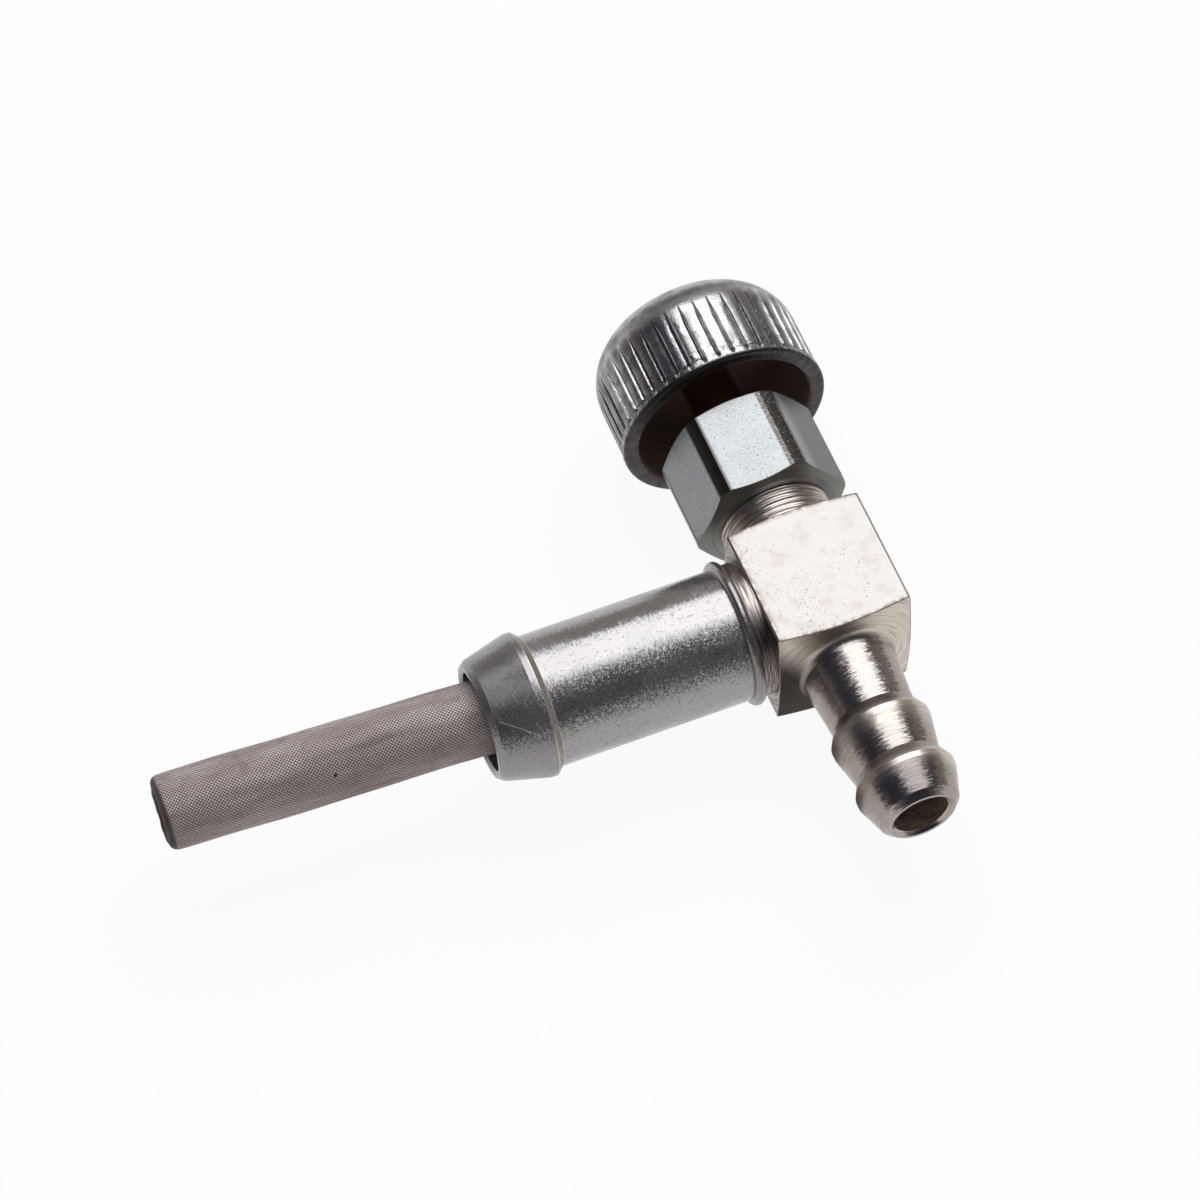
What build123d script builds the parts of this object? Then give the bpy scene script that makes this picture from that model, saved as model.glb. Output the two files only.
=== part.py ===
"""Screw-down fuel tap with a barbed tank stem, a gauze strainer and a barbed hose outlet.

The tap lies on its side with the flat front of its square body upwards.
Origin: centre of the stem where its bead seats on the tank. The stem runs towards -X,
the valve axis is parallel to Y with the knob at +Y and the hose outlet at -Y. Millimetres.
"""
import os
from math import atan, cos, degrees, hypot, radians, tan
from build123d import *

# Valve axis and square bar
valve_x = 7.0              # valve axis, from the tank seat
bar_width = 10.35          # across the flats of the square bar
shoulder_y = 5.30          # turned shoulder, at the middle of a flat
shoulder_angle = 11.0      # how far the turned shoulders fall back
bar_edge = 0.12            # broken edge along the bar

# Hose outlet, measured along the valve axis from the stem axis
hose_crest_d = 7.70        # crest of both barbs
hose_crest_land = 0.45     # short cylindrical land on each crest
first_crest_y = 11.75      # where the first barb's land starts
second_crest_y = 16.20     # where the second barb's land starts
barb_rise = 1.15           # length of the sloped back of a barb
neck_root_d = 7.30         # neck beside the square bar
neck_d = 6.45              # neck at the first barb
waist_d = 6.55             # waist between the barbs
nose_d = 6.20              # nose before its rounding
nose_round = 0.50
outlet_end_y = 19.40
neck_fillet = 0.75
outlet_bore_d = 4.20
bore_chamfer = 0.28

# Valve chamber and packing box
stub_wall = 0.95           # from the packing box to the root of the outside thread
stub_end_y = 13.0
seat_y = -2.0              # valve seat, below the stem axis
seat_d = 2.60
seat_land = 1.20
packing_wall = 1.25        # from the shaft to the wall of the packing box
box_floor_y = 9.70
passage_d = 3.50           # cross passage from the stem
stub_chamfer = 0.30

# Inlet stem
stem_d = 10.0
stem_bore_d = 7.60
stem_end_x = 19.60         # open end, from the tank seat
tank_crest_d = 11.0
tank_crest_x = 15.40       # where the land of the barb starts
tank_crest_land = 0.50
tank_barb_rise = 0.50
tank_nose_d = 9.30
tank_nose_flat = 0.45      # length of the nose chamfer
tank_nose_end_d = 8.60
bead_d = 11.1
bead_width = 0.85
collar_d = 10.15           # turned ring between bead and bar
spigot_d = 7.20            # end of the stem pressed into the bar
spigot_length = 1.90
stem_floor = 1.00          # solid end of the stem behind its bore
mouth_chamfer = 0.20

# Gauze strainer
gauze_d = 5.80
gauze_wall = 0.22
gauze_tip_x = 43.60        # closed tip, from the tank seat
gauze_root_x = 4.00        # held end inside the stem
gauze_lean = 2.67          # the strainer leans towards the knob
gauze_cross_x = 10.80      # where the leaning axis meets the stem axis
gauze_tip_round = 0.55
gauze_tuck = 1.10          # depth of the folded-in tip
gauze_fold_d = 4.10        # opening of the folded-in tip
ferrule_length = 3.20

# Gland nut, packing and washer
nut_af = 10.84             # across the flats
nut_corner_d = 12.0        # turned-off corners
nut_y = 8.20               # end of the nut beside the bar
nut_length = 7.95
nut_face_d = 9.80          # flat left by the end chamfers
nut_chamfer_angle = 25.0
nut_turn = 8.0             # front flat leans towards the stem
thread_gap = 0.03          # between the stub and the nut
shaft_gap = 0.08           # around the turning shaft
stub_gap = 0.10            # between the stub's end and the follower
packing_height = 2.90
follower_gap = 0.10        # around the follower in the packing box
flange_gap = 0.28          # around the follower's flange in the nut
follower_flange = 0.50

# Spindle and swivelling valve tip
shaft_d = 3.90
screw_d = 5.00             # thread of the spindle
screw_gap = 0.05           # around the screw in its bore
screw_bottom_y = 3.60
screw_top_y = 8.40
spindle_neck_d = 2.60
rest_lift = 1.50           # the tap stands this far open
tip_d = 3.60
tip_cone_angle = 35.0      # half angle of the closing cone
tip_length = 2.60
tip_nose_d = 1.50
ball_d = 2.00              # button that carries the tip
ball_length = 0.80
button_neck_d = 1.20
button_neck = 0.60
tip_gap = 0.10
tang_d = 3.00              # end of the spindle in the knob
rivet_d = 4.40
rivet_height = 0.45

# Knob
knob_d = 16.20
knob_rim_y = 17.70
knob_top_y = 27.10
knob_crown = 0.35          # the top is slightly domed
crown_land = 0.70          # ring of the top between the dimple and the rounded shoulder
knob_wall = 1.15
knob_lip = 0.32            # rounding of the rim
lip_height = 0.85          # rolled band above the rim
lip_proud = 0.07           # how far the band stands out
groove_count = 45
groove_depth = 0.36        # at the rim
groove_width = 0.46        # at the rim
groove_tip_width = 0.05    # where the groove runs out
groove_phase = 2.0         # first groove, from the top towards the stem
groove_end_y = 23.8
dimple_gap = 0.60          # around the rivet
dimple_depth = 0.60

os.makedirs("parts", exist_ok=True)

valve_plane = Plane(origin=(valve_x, 0, 0), x_dir=(1, 0, 0), z_dir=(0, 0, 1))
valve_axis = Axis((valve_x, 0, 0), (0, 1, 0))
stem_axis = Axis.X


# Sizes that follow from the shaft outwards
box_d = shaft_d + 2 * packing_wall
stub_d = box_d + 2 * stub_wall
nut_bore_d = stub_d + 2 * thread_gap
dimple_d = rivet_d + 2 * dimple_gap
crown_d = dimple_d + 2 * (dimple_depth + crown_land)


def level(y):
    """Plane across the valve axis at height y, its normal towards the knob."""
    return Plane(origin=(valve_x, y, 0), x_dir=(1, 0, 0), z_dir=(0, 1, 0))


# Square body with the threaded stub and the hose outlet, turned from one bar
bar_r = bar_width / 2
shoulder_fall = tan(radians(shoulder_angle))
bar_corner_r = bar_r * 2 ** 0.5
corner_y = shoulder_y - (bar_corner_r - bar_r) * shoulder_fall
chamber_r = screw_d / 2 + screw_gap
neck_root_y = shoulder_y + (bar_r - neck_root_d / 2) * shoulder_fall
crest_r = hose_crest_d / 2

with BuildPart() as valve_body:
    with BuildSketch(level(-shoulder_y - bar_r)):
        Rectangle(bar_width, bar_width)
    extrude(amount=2 * (shoulder_y + bar_r))
    chamfer(valve_body.edges().filter_by(Axis.Y), bar_edge)
    with BuildSketch(valve_plane):
        with BuildLine():
            Polyline(
                (0, -shoulder_y - bar_r * shoulder_fall),
                (bar_corner_r, -corner_y),
                (bar_corner_r, corner_y),
                (0, shoulder_y + bar_r * shoulder_fall),
                close=True,
            )
        make_face()
    revolve(axis=valve_axis, mode=Mode.INTERSECT)
    with BuildSketch(level(0)):
        Circle(stub_d / 2)
    extrude(amount=stub_end_y)
    with BuildSketch(valve_plane):
        with BuildLine():
            Polyline(
                (0, -outlet_end_y),
                (nose_d / 2 - nose_round, -outlet_end_y),
                (nose_d / 2, -outlet_end_y + nose_round),
                (crest_r, -second_crest_y - hose_crest_land),
                (crest_r, -second_crest_y),
                (waist_d / 2, -second_crest_y + barb_rise),
                (crest_r, -first_crest_y - hose_crest_land),
                (crest_r, -first_crest_y),
                (neck_d / 2, -first_crest_y + barb_rise),
                (neck_root_d / 2, -neck_root_y),
                (neck_root_d / 2, 0),
                (0, 0),
                close=True,
            )
        make_face()
    revolve(axis=valve_axis)
    root_edges = (
        valve_body.edges()
        .filter_by(GeomType.CIRCLE)
        .filter_by(lambda e: abs(e.center().Y + neck_root_y) < 0.05)
        .filter_by(lambda e: abs(e.radius - neck_root_d / 2) < 0.05)
    )
    fillet(root_edges, neck_fillet)
    with BuildSketch(Plane.YZ.offset(valve_x - bar_r)):
        Circle(collar_d / 2)
    extrude(amount=-(valve_x - bar_r - bead_width))
    with BuildSketch(level(seat_y)):
        Circle(chamber_r)
    extrude(amount=stub_end_y - seat_y, mode=Mode.SUBTRACT)
    with BuildSketch(level(box_floor_y)):
        Circle(box_d / 2)
    extrude(amount=stub_end_y - box_floor_y, mode=Mode.SUBTRACT)
    with BuildSketch(level(seat_y)):
        Circle(seat_d / 2)
    extrude(amount=-seat_land, mode=Mode.SUBTRACT)
    with BuildSketch(level(seat_y - seat_land)):
        Circle(outlet_bore_d / 2)
    extrude(amount=-(outlet_end_y + seat_y - seat_land), mode=Mode.SUBTRACT)
    with BuildSketch(Plane.YZ.offset(bead_width)):
        Circle(spigot_d / 2)
    extrude(amount=spigot_length, mode=Mode.SUBTRACT)
    with BuildSketch(Plane.YZ.offset(bead_width)):
        Circle(passage_d / 2)
    extrude(amount=valve_x - bead_width, mode=Mode.SUBTRACT)
    mouth_edges = (
        valve_body.edges()
        .filter_by(GeomType.CIRCLE)
        .filter_by(lambda e: abs(e.center().Y + outlet_end_y) < 0.01)
        .filter_by(lambda e: abs(e.radius - outlet_bore_d / 2) < 0.05)
    )
    chamfer(mouth_edges, bore_chamfer)
    stub_edges = (
        valve_body.edges()
        .filter_by(GeomType.CIRCLE)
        .filter_by(lambda e: abs(e.center().Y - stub_end_y) < 0.01)
        .filter_by(lambda e: abs(e.radius - stub_d / 2) < 0.05)
    )
    chamfer(stub_edges, stub_chamfer)
valve_body.part.label = "valve_body"
export_step(valve_body.part, "parts/valve_body.step")

# Inlet stem, turned from tube, with its tank barb and seating bead
with BuildPart() as inlet_stem:
    with BuildSketch(Plane.XY):
        with BuildLine():
            Polyline(
                (-stem_end_x, 0),
                (-stem_end_x, tank_nose_end_d / 2),
                (-stem_end_x + tank_nose_flat, tank_nose_d / 2),
                (-tank_crest_x - tank_crest_land, tank_crest_d / 2),
                (-tank_crest_x, tank_crest_d / 2),
                (-tank_crest_x + tank_barb_rise, stem_d / 2),
                (0, stem_d / 2),
            )
            Line((0, stem_d / 2), (0, bead_d / 2 - bead_width / 2))
            ThreePointArc(
                (0, bead_d / 2 - bead_width / 2),
                (bead_width / 2, bead_d / 2),
                (bead_width, bead_d / 2 - bead_width / 2),
            )
            Polyline(
                (bead_width, bead_d / 2 - bead_width / 2),
                (bead_width, spigot_d / 2),
                (bead_width + spigot_length, spigot_d / 2),
                (bead_width + spigot_length, 0),
                (-stem_end_x, 0),
            )
        make_face()
    revolve(axis=stem_axis)
    with BuildSketch(Plane.YZ.offset(-stem_end_x)):
        Circle(stem_bore_d / 2)
    extrude(amount=stem_end_x - stem_floor, mode=Mode.SUBTRACT)
    with BuildSketch(Plane.YZ.offset(-stem_end_x)):
        Circle(passage_d / 2)
    extrude(amount=stem_end_x + bead_width + spigot_length, mode=Mode.SUBTRACT)
    stem_mouth = (
        inlet_stem.edges()
        .filter_by(GeomType.CIRCLE)
        .filter_by(lambda e: abs(e.center().X + stem_end_x) < 0.01)
        .filter_by(lambda e: abs(e.radius - stem_bore_d / 2) < 0.05)
    )
    chamfer(stem_mouth, mouth_chamfer)
inlet_stem.part.label = "inlet_stem"
export_step(inlet_stem.part, "parts/inlet_stem.step")

# Gauze strainer: a rolled thimble of woven wire with its tip folded in, leaning a little
lean = radians(gauze_lean)
gauze_plane = Plane(
    origin=(-gauze_cross_x, 0, 0),
    x_dir=(-cos(lean), tan(lean) * cos(lean), 0),
    z_dir=(0, 0, 1),
)
gauze_axis = Axis(gauze_plane.origin, gauze_plane.x_dir)
gauze_r = gauze_d / 2
gauze_tip = (gauze_tip_x - gauze_cross_x) / cos(lean)
gauze_root = (gauze_root_x - gauze_cross_x) / cos(lean)
fold_r = gauze_fold_d / 2

with BuildPart() as filter_screen:
    with BuildSketch(gauze_plane):
        with BuildLine():
            Polyline(
                (gauze_root, gauze_r - gauze_wall),
                (gauze_root, gauze_r),
                (gauze_tip - gauze_tip_round, gauze_r),
            )
            RadiusArc((gauze_tip - gauze_tip_round, gauze_r), (gauze_tip, gauze_r - gauze_tip_round),
                      gauze_tip_round)
            Polyline(
                (gauze_tip, gauze_r - gauze_tip_round),
                (gauze_tip - gauze_tuck / 4, fold_r),
                (gauze_tip - gauze_tuck, fold_r * 0.8),
                (gauze_tip - gauze_tuck, 0),
                (gauze_tip - gauze_tuck - 2 * gauze_wall, 0),
                (gauze_tip - gauze_tuck - 2 * gauze_wall, gauze_r - gauze_wall),
                (gauze_root, gauze_r - gauze_wall),
            )
        make_face()
    revolve(axis=gauze_axis)
filter_screen.part.label = "filter_screen"
export_step(filter_screen.part, "parts/filter_screen.step")

# Ferrule: the ring that grips the gauze and is pressed into the stem
with BuildPart() as filter_ferrule:
    with BuildSketch(Plane.YZ.offset(-gauze_root_x)):
        Circle(stem_bore_d / 2)
    extrude(amount=-ferrule_length)
    with BuildSketch(Plane(gauze_axis.position, z_dir=gauze_axis.direction)):
        Circle(gauze_r)
    extrude(amount=gauze_cross_x, both=True, mode=Mode.SUBTRACT)
filter_ferrule.part.label = "filter_ferrule"
export_step(filter_ferrule.part, "parts/filter_ferrule.step")

# Gland nut: a hexagon with turned corners and chamfered ends, threaded on the stub
nut_top_y = nut_y + nut_length
nut_fall = tan(radians(nut_chamfer_angle))
nut_corner_r = nut_corner_d / 2
nut_cut = (nut_corner_r - nut_face_d / 2) * nut_fall
roof_y = stub_end_y + stub_gap + follower_flange

with BuildPart() as gland_nut:
    with BuildSketch(level(nut_y)):
        RegularPolygon(radius=nut_af / 2, side_count=6, major_radius=False, rotation=-nut_turn)
    extrude(amount=nut_length)
    with BuildSketch(valve_plane):
        with BuildLine():
            Polyline(
                (0, nut_y),
                (nut_face_d / 2, nut_y),
                (nut_corner_r, nut_y + nut_cut),
                (nut_corner_r, nut_top_y - nut_cut),
                (nut_face_d / 2, nut_top_y),
                (0, nut_top_y),
                close=True,
            )
        make_face()
    revolve(axis=valve_axis, mode=Mode.INTERSECT)
    with BuildSketch(level(nut_y)):
        Circle(nut_bore_d / 2)
    extrude(amount=roof_y - nut_y, mode=Mode.SUBTRACT)
    with BuildSketch(level(nut_y)):
        Circle(shaft_d / 2 + shaft_gap)
    extrude(amount=nut_length, mode=Mode.SUBTRACT)
gland_nut.part.label = "gland_nut"
export_step(gland_nut.part, "parts/gland_nut.step")

# Packing ring in its box, round the shaft
packing_top_y = box_floor_y + packing_height
with BuildPart() as gland_packing:
    with BuildSketch(level(box_floor_y)):
        Circle(box_d / 2)
        Circle(shaft_d / 2 + screw_gap, mode=Mode.SUBTRACT)
    extrude(amount=packing_height)
gland_packing.part.label = "gland_packing"
export_step(gland_packing.part, "parts/gland_packing.step")

# Follower: the flanged washer between the nut's roof and the packing
with BuildPart() as gland_follower:
    with BuildSketch(level(packing_top_y)):
        Circle(box_d / 2 - follower_gap)
    extrude(amount=roof_y - packing_top_y)
    with BuildSketch(level(roof_y)):
        Circle(nut_bore_d / 2 - flange_gap)
    extrude(amount=-follower_flange)
    with BuildSketch(level(packing_top_y)):
        Circle(shaft_d / 2 + shaft_gap)
    extrude(amount=roof_y - packing_top_y, mode=Mode.SUBTRACT)
gland_follower.part.label = "gland_follower"
export_step(gland_follower.part, "parts/gland_follower.step")

# Valve tip: the plug that closes the seat and swivels on the spindle's button
tip_seat_r = seat_d / 2
tip_rise = tan(radians(90 - tip_cone_angle))
tip_nose_y = seat_y + rest_lift - (tip_seat_r - tip_nose_d / 2) * tip_rise
cone_top_y = tip_nose_y + (tip_d / 2 - tip_nose_d / 2) * tip_rise
tip_top_y = tip_nose_y + tip_length
button_y = tip_top_y - button_neck - ball_length

with BuildPart() as valve_tip:
    with BuildSketch(valve_plane):
        with BuildLine():
            Polyline(
                (0, tip_nose_y),
                (tip_nose_d / 2, tip_nose_y),
                (tip_d / 2, cone_top_y),
                (tip_d / 2, tip_top_y),
                (button_neck_d / 2 + tip_gap, tip_top_y),
                (button_neck_d / 2 + tip_gap, button_y + ball_length + tip_gap),
                (ball_d / 2 + tip_gap, button_y + ball_length + tip_gap),
                (ball_d / 2 + tip_gap, button_y - tip_gap),
                (0, button_y - tip_gap),
                close=True,
            )
        make_face()
    revolve(axis=valve_axis)
valve_tip.part.label = "valve_tip"
export_step(valve_tip.part, "parts/valve_tip.step")

# Spindle: screw, shaft, tang and riveted end in one turned piece
knob_roof_y = knob_top_y - dimple_depth
knob_under_y = knob_roof_y - knob_wall

with BuildPart() as spindle:
    with BuildSketch(valve_plane):
        with BuildLine():
            Polyline(
                (0, button_y),
                (ball_d / 2, button_y),
                (ball_d / 2, button_y + ball_length),
                (button_neck_d / 2, button_y + ball_length),
                (button_neck_d / 2, tip_top_y + tip_gap),
                (spindle_neck_d / 2, tip_top_y + tip_gap),
                (spindle_neck_d / 2, screw_bottom_y),
                (screw_d / 2, screw_bottom_y),
                (screw_d / 2, screw_top_y),
                (shaft_d / 2, screw_top_y),
                (shaft_d / 2, knob_under_y),
                (tang_d / 2, knob_under_y),
                (tang_d / 2, knob_roof_y),
                (rivet_d / 2, knob_roof_y),
                (rivet_d / 2 - rivet_height / 2, knob_roof_y + rivet_height),
                (0, knob_roof_y + rivet_height),
                close=True,
            )
        make_face()
    revolve(axis=valve_axis)
spindle.part.label = "spindle"
export_step(spindle.part, "parts/spindle.step")

# Knob: a pressed cup with a grooved side, a rolled rim and a dimple for the rivet
knob_r = knob_d / 2
dimple_edge_r = dimple_d / 2 + dimple_depth
crown_r = crown_d / 2
shoulder_r = knob_r - crown_r
shoulder_start_y = knob_top_y - shoulder_r
inner_r = knob_r - knob_wall
inner_round = shoulder_r - knob_wall
lip_r = knob_r + lip_proud
groove_length = groove_end_y - knob_rim_y
groove_shrink = (groove_width - groove_tip_width) / groove_width
groove_inside = groove_depth * groove_width / 2 / hypot(groove_depth, groove_width / 2)
groove_taper = degrees(atan(groove_inside * groove_shrink / groove_length))

with BuildPart() as knob:
    with BuildSketch(valve_plane):
        with BuildLine():
            Line((tang_d / 2, knob_under_y), (tang_d / 2, knob_roof_y))
            Line((tang_d / 2, knob_roof_y), (dimple_d / 2, knob_roof_y))
            Line((dimple_d / 2, knob_roof_y), (dimple_edge_r, knob_top_y + knob_crown / 2))
            Line((dimple_edge_r, knob_top_y + knob_crown / 2), (crown_r, knob_top_y))
            RadiusArc((crown_r, knob_top_y), (knob_r, shoulder_start_y), shoulder_r)
            Line((knob_r, shoulder_start_y), (knob_r, knob_rim_y + lip_height))
            Line((knob_r, knob_rim_y + lip_height), (lip_r, knob_rim_y + lip_height - lip_proud))
            Line((lip_r, knob_rim_y + lip_height - lip_proud), (lip_r, knob_rim_y + knob_lip))
            RadiusArc((lip_r, knob_rim_y + knob_lip), (lip_r - knob_lip, knob_rim_y), knob_lip)
            Line((lip_r - knob_lip, knob_rim_y), (inner_r + knob_lip, knob_rim_y))
            RadiusArc((inner_r + knob_lip, knob_rim_y), (inner_r, knob_rim_y + knob_lip), knob_lip)
            Line((inner_r, knob_rim_y + knob_lip), (inner_r, shoulder_start_y))
            RadiusArc((inner_r, shoulder_start_y), (crown_r, knob_top_y - knob_wall), -inner_round)
            Line((crown_r, knob_top_y - knob_wall), (dimple_d / 2, knob_top_y - knob_wall))
            Line((dimple_d / 2, knob_top_y - knob_wall), (dimple_d / 2 - dimple_depth / 2, knob_under_y))
            Line((dimple_d / 2 - dimple_depth / 2, knob_under_y), (tang_d / 2, knob_under_y))
        make_face()
    revolve(axis=valve_axis)
    with BuildSketch(level(knob_rim_y)):
        with PolarLocations(knob_r, groove_count, start_angle=-90 - groove_phase):
            Polygon(
                (groove_depth, 0),
                (0, groove_width / 2),
                (-groove_depth, 0),
                (0, -groove_width / 2),
            )
    extrude(amount=groove_length, taper=groove_taper, mode=Mode.SUBTRACT)
knob.part.label = "knob"
export_step(knob.part, "parts/knob.step")
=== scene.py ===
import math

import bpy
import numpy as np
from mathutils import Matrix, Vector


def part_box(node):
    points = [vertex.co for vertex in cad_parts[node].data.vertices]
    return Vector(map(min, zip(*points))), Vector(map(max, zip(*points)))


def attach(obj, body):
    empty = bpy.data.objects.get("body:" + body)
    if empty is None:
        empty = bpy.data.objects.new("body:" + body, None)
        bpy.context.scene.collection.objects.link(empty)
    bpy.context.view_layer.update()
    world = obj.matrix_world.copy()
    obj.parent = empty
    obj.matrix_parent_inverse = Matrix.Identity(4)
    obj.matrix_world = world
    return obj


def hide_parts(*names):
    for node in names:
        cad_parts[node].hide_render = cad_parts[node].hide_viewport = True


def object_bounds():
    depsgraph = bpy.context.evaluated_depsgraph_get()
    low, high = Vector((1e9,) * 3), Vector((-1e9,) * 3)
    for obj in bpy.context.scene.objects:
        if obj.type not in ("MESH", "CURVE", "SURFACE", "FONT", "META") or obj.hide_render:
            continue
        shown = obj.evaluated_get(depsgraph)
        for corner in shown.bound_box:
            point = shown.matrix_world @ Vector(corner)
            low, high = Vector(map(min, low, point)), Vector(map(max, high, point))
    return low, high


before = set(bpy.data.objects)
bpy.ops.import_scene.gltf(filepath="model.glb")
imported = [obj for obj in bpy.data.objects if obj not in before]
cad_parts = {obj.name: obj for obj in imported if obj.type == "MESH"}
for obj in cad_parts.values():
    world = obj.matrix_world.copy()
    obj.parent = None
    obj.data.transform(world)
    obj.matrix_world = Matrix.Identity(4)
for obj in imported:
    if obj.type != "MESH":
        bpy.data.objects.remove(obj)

# %% [markdown]
# # A fuel tap on a white table
# The lesson goes from the camera and the studio to the finishes of the metals, then to the pieces
# that a formula describes better than the frame's own meshes, and last to the pieces that keep
# their mesh and only get a finish. Lengths are written in millimetres, and `MM` turns them into
# Blender's metres.

MM = 0.001
cad_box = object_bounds()


def span(node):
    """Lowest and highest corner of a node of the frame, in millimetres."""
    return [np.array(corner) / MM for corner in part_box(node)]


knob_low, knob_high = span("knob")
VALVE_X = (knob_low[0] + knob_high[0]) / 2
print("frame box in mm:", [round(v / MM, 2) for corner in cad_box for v in corner])
print("valve axis at x", round(VALVE_X, 2), "mm")

# %% [markdown]
# The camera stands where the photographer stood: high in front of the tap and a little to its
# left, with a long lens, so the tap shows almost no perspective. Its place follows from three
# angles, the distance, and the point of the picture where the tap's two axes cross.

# %% Camera
PICTURE = 1200                      # width and height of the photograph, in pixels
FOCAL = 4753.5                      # focal length, in pixels
SENSOR = 36.0
AZIMUTH, ELEVATION, ROLL = np.radians([-19.386, 57.386, -2.501])
DISTANCE = 349.49 * MM
CROSSING = np.array([VALVE_X, 0, 0]) * MM
CROSSING_PIXEL = np.array([817.0, 604.9])

toward = np.array([
    np.sin(AZIMUTH) * np.cos(ELEVATION), -np.cos(AZIMUTH) * np.cos(ELEVATION), np.sin(ELEVATION)])
level_right = np.array([np.cos(AZIMUTH), np.sin(AZIMUTH), 0])
level_up = np.cross(toward, level_right)
right = level_right * np.cos(ROLL) + level_up * np.sin(ROLL)
up = level_up * np.cos(ROLL) - level_right * np.sin(ROLL)
aside, below = (CROSSING_PIXEL - PICTURE / 2) * DISTANCE / FOCAL
eye = CROSSING + toward * DISTANCE - right * aside + up * below

camera = bpy.data.objects.new("camera", bpy.data.cameras.new("camera"))
camera.data.sensor_width = SENSOR
camera.data.lens = FOCAL * SENSOR / PICTURE
camera.data.clip_start = DISTANCE / 10
camera.data.clip_end = DISTANCE * 30
pose = np.eye(4)
pose[:3] = np.column_stack([right, up, toward, eye])
camera.matrix_world = Matrix(pose.tolist())
bpy.context.scene.collection.objects.link(camera)
bpy.context.scene.camera = camera
bpy.context.scene.view_settings.view_transform = "Standard"
print("camera at", np.round(eye / MM, 1), "mm, lens", round(camera.data.lens, 1), "mm")

# %% [markdown]
# A finish is a small program made of nodes. Written out node by node it is hard to read, so one
# class wraps a socket: arithmetic on it adds Math nodes, and `node` adds any other node, with its
# settings first and then the value or the link of each of its sockets.

# %% Shader arithmetic
class Wire:
    """A socket of a node tree that can be used in plain arithmetic."""

    def __init__(self, tree, socket=None):
        self.tree = tree
        self.socket = socket

    def node(self, kind, settings=None, sockets=None, output=0):
        """Adds a node and returns one of its outputs."""
        made = self.tree.nodes.new("ShaderNode" + kind)
        for name, value in (settings or {}).items():
            setattr(made, name, value)
        for name, value in (sockets or {}).items():
            if isinstance(value, Wire):
                self.tree.links.new(value.socket, made.inputs[name])
            else:
                made.inputs[name].default_value = value
        return Wire(self.tree, made.outputs[output] if made.outputs else None)

    def math(self, operation, *values):
        return self.node("Math", {"operation": operation}, dict(enumerate(values)))

    def __add__(self, other):
        return self.math("ADD", self, other)

    def __sub__(self, other):
        return self.math("SUBTRACT", self, other)

    def __rsub__(self, other):
        return self.math("SUBTRACT", other, self)

    def __mul__(self, other):
        return self.math("MULTIPLY", self, other)

    def __pow__(self, other):
        return self.math("POWER", self, other)

    def __abs__(self):
        return self.math("ABSOLUTE", self)

    __radd__ = __add__
    __rmul__ = __mul__


def step(value, low, high):
    """0 below low and 1 above high, with a smooth rise between them. Low may be the larger."""
    return value.node("MapRange", {"interpolation_type": "SMOOTHSTEP"}, {
        "Value": value, "From Min": low, "From Max": high})


def larger(one, other):
    return one.math("MAXIMUM", one, other)


def tint(amount, plain, changed):
    """The plain colour where amount is 0, the changed one where it is 1."""
    return amount.node("Mix", {"data_type": "RGBA"}, {0: amount, 6: plain, 7: changed}, output=2)


def colour(red, green, blue):
    return (red, green, blue, 1.0)


def cloud(place, stretch, detail=2.0, roughness=0.5):
    """Noise from 0 to 1 whose grains are 1/stretch wide along each axis of place."""
    scaled = place.node("Mapping", sockets={"Vector": place, "Scale": stretch})
    return place.node("TexNoise", sockets={
        "Vector": scaled, "Scale": 1.0, "Detail": detail, "Roughness": roughness})


def split(vector):
    return [vector.node("SeparateXYZ", sockets={"Vector": vector}, output=i) for i in range(3)]


def join(x, y, z):
    return x.node("CombineXYZ", sockets={"X": x, "Y": y, "Z": z})


def relief(height, depth_mm, under=None):
    """A normal for a surface whose height goes from 0 to 1 over depth_mm."""
    sockets = {"Height": height, "Distance": depth_mm * MM}
    if under is not None:
        sockets["Normal"] = under
    return height.node("Bump", sockets=sockets)


def brushed(wire, place, centre, axis, lean):
    """The surface's normal, leaned round an axis by the wire `lean`, as brush strokes lean it.

    The way round the axis is the cross product of the axis and the place measured from a centre.
    """
    outward = wire.node("VectorMath", {"operation": "SUBTRACT"}, {0: place, 1: centre})
    around = wire.node("VectorMath", {"operation": "CROSS_PRODUCT"}, {0: axis, 1: outward})
    unit = wire.node("VectorMath", {"operation": "NORMALIZE"}, {0: around})
    shift = wire.node("VectorMath", {"operation": "SCALE"}, {0: unit, "Scale": lean})
    normal = wire.node("NewGeometry", output="Normal")
    leaned = wire.node("VectorMath", {"operation": "ADD"}, {0: normal, 1: shift})
    return wire.node("VectorMath", {"operation": "NORMALIZE"}, {0: leaned})


def start_finish(name, coordinates="Object"):
    """A new material, its wire, and the place on the surface in millimetres."""
    material = bpy.data.materials.new(name)
    material.use_nodes = True
    material.node_tree.nodes.clear()
    wire = Wire(material.node_tree)
    metres = wire.node("TexCoord", output=coordinates)
    place = wire.node("VectorMath", {"operation": "SCALE"}, {"Vector": metres, "Scale": 1 / MM})
    return material, wire, place


def end_finish(wire, **sockets):
    """Closes a finish with a Principled shader; an underscore in a name stands for a space."""
    named = {name.replace("_", " "): value for name, value in sockets.items()}
    shader = wire.node("BsdfPrincipled", sockets=named)
    wire.node("OutputMaterial", sockets={"Surface": shader})


print("helpers for finishes are ready")

# %% [markdown]
# Bright metal has hardly any colour of its own: it shows the room. The photograph's own
# reflections tell what stood round the tap: one big softbox overhead and a little behind, dark
# cloth above a low grey wall, and the table. The cloth and the wall are one dome that only
# reflections see. The table and the sky are white to the camera and to reflections.

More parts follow.
